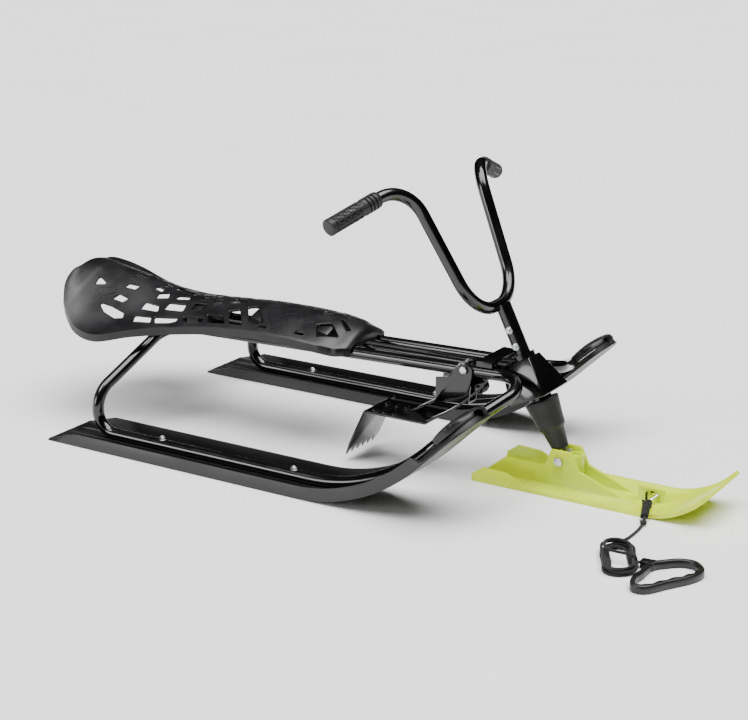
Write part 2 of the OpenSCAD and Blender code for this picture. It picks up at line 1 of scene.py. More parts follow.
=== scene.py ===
"""Steerable snow sled: the finish of every part, and the fine pieces over its solid frame."""
import math

import bmesh
import bpy
from mathutils import Matrix, Vector


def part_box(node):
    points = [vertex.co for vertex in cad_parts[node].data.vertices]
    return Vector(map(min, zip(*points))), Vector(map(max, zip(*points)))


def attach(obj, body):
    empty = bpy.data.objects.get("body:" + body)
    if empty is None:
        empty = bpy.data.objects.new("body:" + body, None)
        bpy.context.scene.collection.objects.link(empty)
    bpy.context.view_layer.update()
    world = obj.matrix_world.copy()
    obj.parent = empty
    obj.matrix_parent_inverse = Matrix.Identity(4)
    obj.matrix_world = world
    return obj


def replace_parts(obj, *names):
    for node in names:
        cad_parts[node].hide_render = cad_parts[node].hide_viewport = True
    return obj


bl_info = {
    "name": "Snow Sled",
    "version": (1, 0, 0),
    "blender": (4, 5, 0),
    "location": "View3D > Sidebar > Sled",
    "description": "Builds the finish and the fine pieces of a steerable snow sled",
    "category": "Add Mesh",
}

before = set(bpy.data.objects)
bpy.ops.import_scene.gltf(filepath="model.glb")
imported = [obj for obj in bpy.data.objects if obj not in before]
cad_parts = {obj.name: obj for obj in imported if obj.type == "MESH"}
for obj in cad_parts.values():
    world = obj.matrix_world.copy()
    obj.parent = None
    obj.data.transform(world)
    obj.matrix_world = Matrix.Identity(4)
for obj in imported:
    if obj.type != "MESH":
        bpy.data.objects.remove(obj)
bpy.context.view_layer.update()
MM = 0.001
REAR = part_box("runner_right")[0][0]
UP = Vector((0, 0, 1))

# The steering axis leans back by this angle and meets the floor here, in mm
RAKE = math.radians(26.3)
AXIS_X = 857


def at(x, y, z):
    """A point in millimetres from the runners' rear ends, in the frame's metres."""
    return Vector((x * MM + REAR, y * MM, z * MM))


def steered(x, y, z):
    """A point in millimetres ahead of, beside and up the steering axis."""
    return at(AXIS_X + x * math.cos(RAKE) - z * math.sin(RAKE), y,
              x * math.sin(RAKE) + z * math.cos(RAKE))


# ---- Meshes

def put(shape, name, body, material, smooth=32):
    """Turns a bmesh into a finished piece that rides on a body."""
    mesh = bpy.data.meshes.new(name)
    shape.to_mesh(mesh)
    shape.free()
    mesh.shade_smooth()
    mesh.set_sharp_from_angle(angle=math.radians(smooth))
    mesh.materials.append(material)
    piece = bpy.data.objects.new(name, mesh)
    bpy.context.scene.collection.objects.link(piece)
    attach(piece, body)
    return piece


def finish_node(name, material):
    """Gives a node of the frame its real finish."""
    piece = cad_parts[name]
    piece.data.materials.clear()
    piece.data.materials.append(material)


def rounded(points, radii, closed=False, steps=8):
    """The path through corners, each one turned with its radius."""
    count = len(points)
    path = []
    for i, corner in enumerate(points):
        if not closed and i in (0, count - 1):
            path.append(corner.copy())
            continue
        go = (corner - points[i - 1]).normalized()
        leave = (points[(i + 1) % count] - corner).normalized()
        turn = go.angle(leave)
        if turn < 0.01:
            path.append(corner.copy())
            continue
        radius = radii[i] if isinstance(radii, (list, tuple)) else radii
        start = corner - go * radius * math.tan(turn / 2)
        across = (leave - go * go.dot(leave)).normalized()
        for step in range(steps + 1):
            angle = turn * step / steps
            path.append(start + go * radius * math.sin(angle) + across * radius * (1 - math.cos(angle)))
    return path


def spaced(path, gap, closed=False):
    """The same path with extra points, none further apart than the gap."""
    ends = list(zip(path, path[1:] + path[:1] if closed else path[1:]))
    made = []
    for a, b in ends:
        parts = max(1, math.ceil((b - a).length / gap))
        made += [a.lerp(b, i / parts) for i in range(parts)]
    return made if closed else made + [path[-1].copy()]


def grow_ring(shape, ring, edges, places):
    """Extrudes a ring of edges and sets the new ring on the given places."""
    made = bmesh.ops.extrude_edge_only(shape, edges=edges)["geom"]
    fresh = {v for v in made if isinstance(v, bmesh.types.BMVert)}
    following = [next(e.other_vert(v) for e in v.link_edges if e.other_vert(v) in fresh) for v in ring]
    for vert, place in zip(following, places):
        vert.co = place
    edges = [e for e in made if isinstance(e, bmesh.types.BMEdge) and e.verts[0] in fresh
             and e.verts[1] in fresh]
    return following, edges


def skin(shape, sections, closed=False, cap=True):
    """Skins a row of closed sections that have the same number of points."""
    ring = [shape.verts.new(p) for p in sections[0]]
    first = edges = [shape.edges.new((ring[i - 1], ring[i])) for i in range(len(ring))]
    for places in sections[1:]:
        ring, edges = grow_ring(shape, ring, edges, places)
    if closed:
        bmesh.ops.bridge_loops(shape, edges=first + edges)
    elif cap:
        for rim in (first, edges):
            bmesh.ops.triangle_fill(shape, use_beauty=True, edges=rim)


def sweep(shape, path, radius, sides=10, closed=False, cap=True):
    """Sweeps a round section along a path; radius is a number or one for each point."""
    count = len(path)
    sections = []
    side = None
    for i, point in enumerate(path):
        before = path[i - 1] if closed or i else path[0]
        after = path[(i + 1) % count] if closed or i < count - 1 else path[-1]
        ahead = (after - before).normalized()
        if side is None:
            side = ahead.orthogonal().normalized()
        side = (side - ahead * side.dot(ahead)).normalized()
        up = ahead.cross(side)
        reach = radius[i] if isinstance(radius, list) else radius
        sections.append([point + (side * math.cos(a) + up * math.sin(a)) * reach
                         for a in (2 * math.pi * k / sides for k in range(sides))])
    skin(shape, sections, closed=closed, cap=cap)


def tidy_normals(shape):
    bmesh.ops.remove_doubles(shape, verts=shape.verts, dist=0.01 * MM)
    bmesh.ops.recalc_face_normals(shape, faces=shape.faces)


def ease_edges(shape, width, segments=2, angle=32):
    """Rounds the sharp edges of a shape, as a mould or a press leaves them."""
    sharp = [e for e in shape.edges if e.is_manifold and e.calc_face_angle(0) > math.radians(angle)]
    bmesh.ops.bevel(shape, geom=sharp, offset=width * MM, offset_type="OFFSET", segments=segments,
                    profile=0.5, affect="EDGES", clamp_overlap=True, material=-1)


def eased_copy(node, width, segments=2):
    """A copy of a node's mesh, merged and with its edges rounded."""
    shape = bmesh.new()
    shape.from_mesh(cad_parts[node].data)
    bmesh.ops.remove_doubles(shape, verts=shape.verts, dist=0.002 * MM)
    bmesh.ops.dissolve_limit(shape, angle_limit=0.02, verts=shape.verts, edges=shape.edges)
    ease_edges(shape, width, segments)
    return shape


def turned(shape, base, axis, profile, sides=40):
    """Turns a profile of (along, radius) pairs in mm about an axis from a base point."""
    side = axis.orthogonal().normalized()
    up = axis.cross(side)
    rings = []
    for along, radius in profile:
        rings.append([base + axis * along * MM + (side * math.cos(a) + up * math.sin(a)) * max(radius, 0.05) * MM
                      for a in (2 * math.pi * k / sides for k in range(sides))])
    skin(shape, rings)


def hexagon_head(shape, base, axis, across, height):
    """A chamfered hex head that stands on a washer."""
    turned(shape, base, axis, [(0, across * 0.62), (0.4, across * 0.66), (1.0, across * 0.66), (1.3, across * 0.62)])
    corner = across / 2 / math.cos(math.pi / 6)
    turned(shape, base, axis, [(1.0, corner), (height * 0.8 + 1, corner), (height + 1, corner * 0.86)], sides=6)
    turned(shape, base, axis, [(height + 0.9, across * 0.3), (height + 2.4, across * 0.3),
                               (height + 3.0, across * 0.24)], sides=20)


# ---- Finishes

def add_node(tree, kind, values=None, links=None, **settings):
    """Adds a shader node with its settings, socket values and links."""
    made = tree.nodes.new(kind)
    for name, value in settings.items():
        setattr(made, name, value)
    for name, value in (values or {}).items():
        made.inputs[name].default_value = value
    for name, source in (links or {}).items():
        tree.links.new(source, made.inputs[name])
    return made


def linear(code):
    """An sRGB hex colour as linear RGBA."""
    parts = [int(code[i:i + 2], 16) / 255 for i in (1, 3, 5)]
    return [p / 12.92 if p <= 0.04045 else ((p + 0.055) / 1.055) ** 2.4 for p in parts] + [1.0]


def shader(name, **values):
    """A new material with one Principled shader, its tree and its Object coordinates."""
    made = bpy.data.materials.new(name)
    made.use_nodes = True
    surface = made.node_tree.nodes["Principled BSDF"]
    for key, value in values.items():
        surface.inputs[key.replace("_", " ")].default_value = value
    place = add_node(made.node_tree, "ShaderNodeTexCoord").outputs["Object"]
    return made, made.node_tree, surface, place


def grain(tree, surface, place, size_mm, depth_mm, stretch=(1, 1, 1), detail=3.0):
    """A moulded or sprayed skin: noise of a real size in mm that only moves the light."""
    mapped = add_node(tree, "ShaderNodeMapping", {"Scale": stretch}, {"Vector": place})
    noise = add_node(tree, "ShaderNodeTexNoise", {"Scale": 1 / (size_mm * MM), "Detail": detail},
                     {"Vector": mapped.outputs["Vector"]})
    bump = add_node(tree, "ShaderNodeBump", {"Strength": 0.6, "Distance": depth_mm * MM},
                    {"Height": noise.outputs["Fac"]})
    tree.links.new(bump.outputs["Normal"], surface.inputs["Normal"])
    return noise


def vary(tree, surface, place, size_mm, low, high, stretch=(1, 1, 1)):
    """Lets the roughness drift between two values in patches of a size in mm."""
    mapped = add_node(tree, "ShaderNodeMapping", {"Scale": stretch}, {"Vector": place})
    patches = add_node(tree, "ShaderNodeTexNoise", {"Scale": 1 / (size_mm * MM), "Detail": 4.0},
                       {"Vector": mapped.outputs["Vector"]})
    ranged = add_node(tree, "ShaderNodeMapRange",
                      {"From Min": 0.35, "From Max": 0.65, "To Min": low, "To Max": high},
                      {"Value": patches.outputs["Fac"]})
    tree.links.new(ranged.outputs["Result"], surface.inputs["Roughness"])
    return patches


def tint(tree, surface, factor, dark, light):
    """Blends two sRGB colours by a factor between its usual ends."""
    ramp = add_node(tree, "ShaderNodeValToRGB", links={"Fac": factor})
    ramp.color_ramp.elements[0].position = 0.35
    ramp.color_ramp.elements[1].position = 0.65
    ramp.color_ramp.elements[0].color = dark
    ramp.color_ramp.elements[1].color = light
    tree.links.new(ramp.outputs["Color"], surface.inputs["Base Color"])


def finish(make):
    """The material that a maker function gives, built once."""
    return bpy.data.materials.get(make.__name__) or make()


def steel_powder_coated():
    """Steel tube under gloss black polyester powder: deep black, crisp highlights and a
    faint orange peel, whose 1 mm waves are drawn at 3 mm so that they show."""
    look = bpy.context.scene.sled_finish
    made, tree, surface, place = shader("steel_powder_coated", IOR=1.5, Coat_Weight=0.4, Coat_Roughness=0.05)
    grain(tree, surface, place, 3.0, 0.05)
    patches = vary(tree, surface, place, 60, 0.14, 0.24)
    tint(tree, surface, patches.outputs["Fac"], [c * 0.8 for c in look.frame[:]], look.frame[:])
    return made


def polypropylene_spark_eroded():
    """Black polypropylene from a spark-eroded mould: satin, with a fine stipple that turns
    highlights grey. The 0.4 mm stipple is drawn at 1.2 mm so that it shows."""
    look = bpy.context.scene.sled_finish
    made, tree, surface, place = shader("polypropylene_spark_eroded", IOR=1.49)
    grain(tree, surface, place, 1.2, 0.12)
    patches = vary(tree, surface, place, 45, 0.32, 0.46)
    tint(tree, surface, patches.outputs["Fac"], [c * 0.75 for c in look.plastic[:]], look.plastic[:])
    return made


def polyethylene_runner():
    """Black polyethylene of the runners: waxy satin, with fine scratches along the way of
    travel, 0.3 mm apart and drawn at 1.5 mm."""
    look = bpy.context.scene.sled_finish
    made, tree, surface, place = shader("polyethylene_runner", IOR=1.51)
    grain(tree, surface, place, 1.5, 0.10, stretch=(0.06, 1, 1))
    patches = vary(tree, surface, place, 30, 0.34, 0.5, stretch=(0.2, 1, 1))
    tint(tree, surface, patches.outputs["Fac"], [c * 0.8 for c in look.plastic[:]], look.plastic[:])
    return made


def polyethylene_lime():
    """Lime polyethylene of the ski: dyed through, waxy, slightly clouded, with light let a
    little way in and fine flow marks along its length."""
    look = bpy.context.scene.sled_finish
    made, tree, surface, place = shader("polyethylene_lime", IOR=1.51, Subsurface_Weight=0.04,
                                        Subsurface_Scale=0.004)
    grain(tree, surface, place, 2.0, 0.10, stretch=(0.12, 1, 1))
    patches = vary(tree, surface, place, 40, 0.28, 0.42)
    tint(tree, surface, patches.outputs["Fac"], [c * 0.88 for c in look.ski[:]], look.ski[:])
    return made


def steel_zinc_plated():
    """Bright zinc plate on steel: silver with a cool bloom, slightly uneven gloss."""
    look = bpy.context.scene.sled_finish
    made, tree, surface, place = shader("steel_zinc_plated", Metallic=1.0)
    grain(tree, surface, place, 1.0, 0.03)
    patches = vary(tree, surface, place, 6, 0.18, 0.36)
    tint(tree, surface, patches.outputs["Fac"], [c * 0.72 for c in look.zinc[:]], look.zinc[:])
    return made


def spring_wire_oiled():
    """Oiled spring wire: dark metal with drawn lines and a soft shine."""
    made, tree, surface, place = shader("spring_wire_oiled", Metallic=1.0)
    grain(tree, surface, place, 0.8, 0.03)
    patches = vary(tree, surface, place, 5, 0.25, 0.42)
    tint(tree, surface, patches.outputs["Fac"], linear("#2b2b2e"), linear("#55565a"))
    return made


def rubber_moulded():
    """Black thermoplastic rubber of the grips and boot: matt, soft grey sheen at grazing
    angles, and a fine pebble of 0.5 mm drawn at 1.2 mm."""
    look = bpy.context.scene.sled_finish
    made, tree, surface, place = shader("rubber_moulded", IOR=1.52, Sheen_Weight=0.03, Sheen_Roughness=0.5)
    grain(tree, surface, place, 1.2, 0.10)
    patches = vary(tree, surface, place, 20, 0.46, 0.62)
    tint(tree, surface, patches.outputs["Fac"], [c * 0.8 for c in look.rubber[:]], look.rubber[:])
    return made


def polyester_braid():
    """Braided polyester cord: two sets of strands cross in a small diamond weave, 1.2 mm
    wide and drawn at 1.6 mm, with painted shade that darkens the grooves between strands and lightens their crests."""
    look = bpy.context.scene.sled_finish
    made, tree, surface, place = shader("polyester_braid", IOR=1.53, Roughness=0.8, Sheen_Weight=0.1,
                                        Sheen_Roughness=0.4)
    weave = []
    for turn in (45, -45):
        mapped = add_node(tree, "ShaderNodeMapping", {"Rotation": (0, 0, math.radians(turn))},
                          {"Vector": place})
        weave.append(add_node(tree, "ShaderNodeTexWave", {"Scale": 100.0, "Distortion": 1.0},
                              {"Vector": mapped.outputs["Vector"]}, bands_direction="DIAGONAL"))
    crossed = add_node(tree, "ShaderNodeMath", links={0: weave[0].outputs["Fac"], 1: weave[1].outputs["Fac"]},
                       operation="MAXIMUM")
    bump = add_node(tree, "ShaderNodeBump", {"Strength": 0.8, "Distance": 0.4 * MM},
                    {"Height": crossed.outputs["Value"]})
    tree.links.new(bump.outputs["Normal"], surface.inputs["Normal"])
    # Painted shade: the colour follows the weave's height, half as bright in the grooves between strands and full on
    # their crests.
    tint(tree, surface, crossed.outputs["Value"], [c * 0.5 for c in look.rope[:]], look.rope[:])
    return made


def paper_backdrop():
    """Matt white paper sweep."""
    made, tree, surface, place = shader("paper_backdrop", Roughness=0.95)
    tint(tree, surface, add_node(tree, "ShaderNodeTexNoise", {"Scale": 2.0}, {"Vector": place}).outputs["Fac"],
         linear("#f7f7f7"), linear("#f9f9f9"))
    return made


# ---- What a user may change

def colour(name, words, code):
    return bpy.props.FloatVectorProperty(name=name, description=words, subtype="COLOR", size=4,
                                         min=0, max=1, default=linear(code))


def length(name, words, value):
    return bpy.props.FloatProperty(name=name, description=words, default=value * MM, min=0, unit="LENGTH",
                                   subtype="DISTANCE")


class SLED_PG_finish(bpy.types.PropertyGroup):
    """Colours of the sled's materials."""
    frame: colour("Frame", "Powder coat of the steel tubes", "#060607")
    plastic: colour("Plastic", "Moulded seat, runners and foot rests", "#121214")
    ski: colour("Ski", "Moulded front ski", "#d6ea00")
    zinc: colour("Zinc", "Plated bolts, nuts and shaft", "#d5d7da")
    rubber: colour("Rubber", "Grips and boot", "#08080a")
    rope: colour("Rope", "Braided tow rope", "#08080a")


class SLED_PG_sizes(bpy.types.PropertyGroup):
    """Sizes of the fine pieces."""
    tube: length("Tube", "Outer diameter of the frame tube", 20)
    seat_wall: length("Seat wall", "Wall of the moulded seat", 3.6)
    bead: length("Rim bead", "Radius of the rounded rim of the seat's openings", 1.1)
    grip: length("Grip", "Outer diameter of a grip", 27)
    rope: length("Rope", "Diameter of the tow rope", 4.5)


class SLED_PG_stage(bpy.types.PropertyGroup):
    """Floor and camera."""
    floor: bpy.props.FloatProperty(name="Floor", description="Width of the floor", default=24.0, unit="LENGTH")
    azimuth: bpy.props.FloatProperty(name="Azimuth", description="Camera's place round the sled",
                                     default=math.radians(32.0), unit="ROTATION")
    elevation: bpy.props.FloatProperty(name="Elevation", description="Camera's height angle",
                                       default=math.radians(17.2), unit="ROTATION")


# ---- Frame

# Angle and bend of the nose, and the length of its straight ramp
NOSE_TURN = math.radians(43.5)
NOSE_R = 325
FLAT_END = 500
NOSE_END = 118
HALF_GAUGE = 223.5
TUBE_Z = 14.2


def up_nose(along, across, height):
    """A point of the runner: along its sole from the rear, across it and square above it."""
    bend = NOSE_R * NOSE_TURN
    turn = min(max(0.0, along - FLAT_END), bend) / NOSE_R
    x = min(along, FLAT_END) + (NOSE_R - height) * math.sin(turn)
    z = NOSE_R - (NOSE_R - height) * math.cos(turn)
    rest = max(0.0, along - FLAT_END - bend)
    return at(x + rest * math.cos(turn), across, z + rest * math.sin(turn))


def loop_path(side):
    """Corners of a side loop: leg, runner tube, nose bend, and the rail to the seat."""
    bend = NOSE_R * NOSE_TURN
    reach = (NOSE_R - TUBE_Z) * math.tan(NOSE_TURN / 2)
    corners = [at(80, 42, 160), at(68, HALF_GAUGE, 80), at(68, HALF_GAUGE, TUBE_Z),
               at(FLAT_END + reach, HALF_GAUGE, TUBE_Z),
               up_nose(FLAT_END + bend + 42, HALF_GAUGE, TUBE_Z + 0.6), at(798, 38, 177)]
    for corner in corners:
        corner.y *= side
    radii = [45, 45, 36, NOSE_R - TUBE_Z, 60, 46]
    return rounded(corners, [r * MM for r in radii], closed=True, steps=14)


class SLED_OT_frame(bpy.types.Operator):
    """Bent tube loops, middle tube, head box and rail bridge in powder-coated steel"""
    bl_idname = "sled.frame"
    bl_label = "Frame"

    def execute(self, context):
        coat = finish(steel_powder_coated)
        sizes = context.scene.sled_sizes
        for name, side in (("loop_right", -1), ("loop_left", 1)):
            shape = bmesh.new()
            sweep(shape, loop_path(side), sizes.tube / 2, sides=28, closed=True)
            tidy_normals(shape)
            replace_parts(put(shape, "tube_" + name, "frame", coat), name)
        for name in ("spine_tube", "cross_tube", "head_tube"):
            finish_node(name, coat)
        self.head_box(coat)
        bridge = put(eased_copy("rail_bridge", 0.8), "bridge_plate", "frame", coat)
        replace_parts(bridge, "rail_bridge")
        self.weld_beads(coat)
        return {"FINISHED"}

    def head_box(self, coat):
        """A folded box, narrow on top and wide at its foot, open below."""
        shape = bmesh.new()
        bmesh.ops.create_cube(shape, size=1)
        for vert in shape.verts:
            top, front = vert.co.z > 0, vert.co.x > 0
            half = 19 if top else 42
            ahead = (18 if top else 33) if front else -34
            vert.co = steered(ahead, half if vert.co.y > 0 else -half, 220 if top else 158)
        tidy_normals(shape)
        floor = min(shape.faces, key=lambda f: f.calc_center_median().z)
        bmesh.ops.delete(shape, geom=[floor], context="FACES")
        bmesh.ops.solidify(shape, geom=shape.faces, thickness=2.5 * MM)
        bmesh.ops.recalc_face_normals(shape, faces=shape.faces)
        ease_edges(shape, 1.6, 3)
        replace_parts(put(shape, "head_cover", "frame", coat), "head_box")

    def weld_beads(self, coat):
        """Beads where the cross tube and the legs meet the rails."""
        shape = bmesh.new()
        for side in (-1, 1):
            middle = at(102, side * 31, 161)
            ring = [middle + Vector((math.cos(a), 0, math.sin(a))) * 10.4 * MM
                    for a in (2 * math.pi * k / 24 for k in range(24))]
            sweep(shape, ring, 1.6 * MM, sides=8, closed=True)
        tidy_normals(shape)
        put(shape, "weld_beads", "frame", coat)


class SLED_OT_runners(bpy.types.Operator):
    """Moulded runners with their ridges and the foot rests on their noses"""
    bl_idname = "sled.runners"
    bl_label = "Runners and foot rests"

    def execute(self, context):
        plastic = finish(polyethylene_runner)
        for name, side in (("right", -1), ("left", 1)):
            runner = put(self.runner(side), "sole_" + name, "frame", plastic, 28)
            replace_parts(runner, "runner_" + name)
            rest = put(self.foot_rest(side), "rest_" + name, "frame", plastic)
            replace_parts(rest, "foot_rest_" + name)
        return {"FINISHED"}

    @staticmethod
    def half_width(along):
        """Half the runner's width: rounded at the tip."""
        tip = FLAT_END + NOSE_R * NOSE_TURN + NOSE_END
        left = max(0.0, tip - along) / 44
        return 54 * math.sqrt(max(0.02, 1 - (1 - min(1, left)) ** 2))

    @staticmethod
    def wall_height(along, inner):
        """Walls rise from the rear, and stay low where the tube leaves the nose."""
        ramp = along - FLAT_END - NOSE_R * NOSE_TURN
        if ramp > 12:
            return 5.0 if inner and ramp < 64 else 9.0
        if ramp > 4:
            return 20 - (ramp - 4) * 11 / 8
        return min(20.0, 3.4 + max(0.0, along - 2) * 0.29)

    def runner(self, side):
        stations = [0, 6, 18, 32, 46, 60, 120, 200, 300, 400, FLAT_END]
        bend = NOSE_R * NOSE_TURN
        stations += [FLAT_END + bend * i / 14 for i in range(1, 15)]
        stations += [FLAT_END + bend + s for s in (4, 12, 26, 40, 54, 62, 66, 74, 84, 92, 99, 105, 110, 114,
                                                  116.5, NOSE_END)]
        sections = []
        for along in stations:
            half = self.half_width(along)
            share = half / 54
            out, into = self.wall_height(along, False), self.wall_height(along, True)
            ridge = min(6.0, 3.2 + max(0.0, along - 14) * 0.2)
            low = min(4.0, ridge)
            points = [(-54, 0), (54, 0), (54, out * 0.3), (50, out), (47, out), (46, 3), (26, 3), (25.4, ridge),
                      (20.6, ridge), (20, 3), (5, 3), (4.6, low), (-4.6, low), (-5, 3), (-20, 3),
                      (-20.6, ridge), (-25.4, ridge), (-26, 3), (-48, 3), (-50, into), (-54, into)]
            sections.append([up_nose(along, side * (HALF_GAUGE + y * share), z) for y, z in points])
        shape = bmesh.new()
        skin(shape, sections)
        tidy_normals(shape)
        ease_edges(shape, 0.7, 1, angle=50)
        return shape

    def foot_rest(self, side):
        """A cap over the nose: flanges outside and inside, and a crowned tread."""
        start = FLAT_END + NOSE_R * NOSE_TURN
        shape = bmesh.new()
        rows = []
        for ramp in (58, 60, 66, 74, 82, 90, 97, 103, 108, 112, 115, 117):
            half = self.half_width(start + ramp) + 0.6
            arch = 4.5 * math.sin(math.pi * (ramp - 52) / 72) - max(0, ramp - 95) * 0.16
            line = [(half, 9.4), (half, 16 + arch), (half - min(3.5, half * 0.2), 19 + arch),
                    (half * 0.66, 21 + arch), (half * 0.3, 22 + arch)]
            line += [(-y, z) for y, z in reversed(line)]
            rows.append([up_nose(start + ramp, side * (HALF_GAUGE + y), z) for y, z in line])
        chain = [shape.verts.new(p) for p in rows[0]]
        edges = [shape.edges.new(pair) for pair in zip(chain, chain[1:])]
        for row in rows[1:]:
            chain, edges = grow_ring(shape, chain, edges, row)
        bmesh.ops.recalc_face_normals(shape, faces=shape.faces)
        if sum(f.normal.z for f in shape.faces) < 0:
            bmesh.ops.reverse_faces(shape, faces=shape.faces)
        bmesh.ops.solidify(shape, geom=shape.faces, thickness=2.4 * MM)
        bmesh.ops.recalc_face_normals(shape, faces=shape.faces)
        ease_edges(shape, 0.7, 2, angle=50)
        for flank in (1, -1):
            bead = [up_nose(start + ramp, side * (HALF_GAUGE + flank * (self.half_width(start + ramp) + 0.8)), 13)
                    for ramp in (62, 70, 78, 86, 93, 99, 104, 109, 113)]
            sweep(shape, bead, 0.9 * MM, sides=8)
            for ramp in (88, 96):
                base = up_nose(start + ramp, side * (HALF_GAUGE + flank * (self.half_width(start + ramp) + 0.4)), 19)
                turned(shape, base, Vector((0, side * flank, 0)), [(0, 2.6), (1.4, 2.6), (1.9, 2.0)], sides=16)
        return shape


# ---- Seat

# Columns: place, half width, crown height, edge height, and share of a bell section
SEAT_ROWS = [(594 * x - 127, 157 * half, crown, edge, bell) for x, half, crown, edge, bell in (
    (0.000, 0.10, 238, 236, 0.90), (0.006, 0.34, 243, 235, 0.90), (0.025, 0.56, 243, 221, 0.90),
    (0.055, 0.73, 240, 203, 0.85), (0.083, 0.84, 236, 187, 0.80), (0.146, 0.97, 230, 165, 0.80),
    (0.229, 1.00, 219, 158, 0.75), (0.329, 0.87, 206, 170, 0.65), (0.429, 0.70, 206, 177, 0.50),
    (0.553, 0.58, 213, 184, 0.40), (0.694, 0.55, 217, 189, 0.30), (0.811, 0.54, 216, 189, 0.20),
    (0.910, 0.51, 213, 184, 0.20), (0.960, 0.46, 206, 180, 0.25), (0.988, 0.40, 200, 180, 0.20),
    (1.000, 0.34, 191, 178, 0.20))]

# Openings of the moulded web on one side: corners as place and share of the half width
SEAT_CUTS = [
    [(-74, 0.30), (-46, 0.34), (-69, 0.44)],
    [(-13, 0.38), (11, 0.40), (5, 0.47), (-19, 0.47)],
    [(-40, 0.57), (-9, 0.55), (23, 0.60), (30, 0.69), (14, 0.70), (-15, 0.65)],
    [(-13, 0.20), (9, 0.16), (7, 0.26), (-15, 0.28)],
    [(31, 0.03), (47, 0.03), (49, 0.13), (33, 0.12)],
    [(48, 0.16), (61, 0.06), (73, 0.22), (53, 0.29)],
    [(81, 0.08), (104, 0.03), (113, 0.19), (86, 0.22)],
    [(128, 0.03), (145, 0.03), (151, 0.13), (131, 0.14)],
    [(43, 0.38), (73, 0.41), (83, 0.56), (46, 0.52)],
    [(83, 0.31), (120, 0.33), (128, 0.55), (88, 0.50)],
    [(131, 0.27), (163, 0.30), (166, 0.48), (139, 0.52)],
    [(160, 0.11), (182, 0.10), (188, 0.30), (172, 0.38)],
    [(196, 0.03), (206, 0.03), (229, 0.20), (201, 0.26)],
    [(219, 0.05), (244, 0.12), (233, 0.19)],
    [(46, 0.63), (81, 0.67), (92, 0.84), (56, 0.78)],
    [(85, 0.67), (131, 0.71), (142, 0.88), (100, 0.86)],
    [(136, 0.68), (179, 0.71), (188, 0.88), (151, 0.88)],
    [(179, 0.62), (212, 0.64), (233, 0.89), (195, 0.89)],
    [(215, 0.50), (234, 0.42), (268, 0.89), (238, 0.89)],
    [(244, 0.34), (262, 0.24), (303, 0.74), (280, 0.89)],
    [(297, 0.79), (307, 0.77), (320, 0.90), (298, 0.90)],
    [(368, 0.76), (384, 0.75), (390, 0.89), (369, 0.89)],
    [(392, 0.50), (415, 0.34), (444, 0.68), (410, 0.84)],
    [(371, 0.06), (381, 0.03), (400, 0.05), (389, 0.17)],
    [(416, 0.10), (428, 0.10), (452, 0.36), (446, 0.46)]]

# Panels that are only outlined in the skin
SEAT_PANELS = [
    [(-63, 0.47), (-31, 0.33), (-16, 0.36), (-42, 0.50)],
    [(-31, 0.11), (-25, 0.02), (3, 0.03), (-9, 0.12)],
    [(274, 0.16), (300, 0.10), (345, 0.88), (328, 0.90)],
    [(324, 0.36), (346, 0.26), (364, 0.70), (350, 0.74)],
    [(346, 0.10), (374, 0.20), (386, 0.44), (372, 0.52)]]


def seat_row(k):
    """The seat's values at a row number, smooth through the rows."""
    last = len(SEAT_ROWS) - 1
    i = min(last - 1, int(k))
    f = k - i
    values = []
    for column in range(5):
        p, q, r, s = (SEAT_ROWS[min(last, max(0, i + step))][column] for step in (-1, 0, 1, 2))
        values.append(q + f * ((r - p) / 2 + f * (p - 2.5 * q + 2 * r - s / 2 + f * ((s - p) / 2 + 1.5 * (q - r)))))
    return values


def seat_row_at(x):
    """The row number at a place along the seat."""
    low, high = 0.0, len(SEAT_ROWS) - 1.0
    for _ in range(24):
        middle = (low + high) / 2
        low, high = (middle, high) if seat_row(middle)[0] < x else (low, middle)
    return low


def seat_point(k, share):
    """A point of the seat's skin at a row number and a share of the half width."""
    x, half, crown, edge, bell = seat_row(k)
    t = abs(share)
    rise = (1 - bell) * max(0.0, math.cos(math.pi / 2 * t)) ** 0.75 + bell * (1 + math.cos(math.pi * t)) / 2
    return at(x, half * share, edge + (crown - edge) * rise)


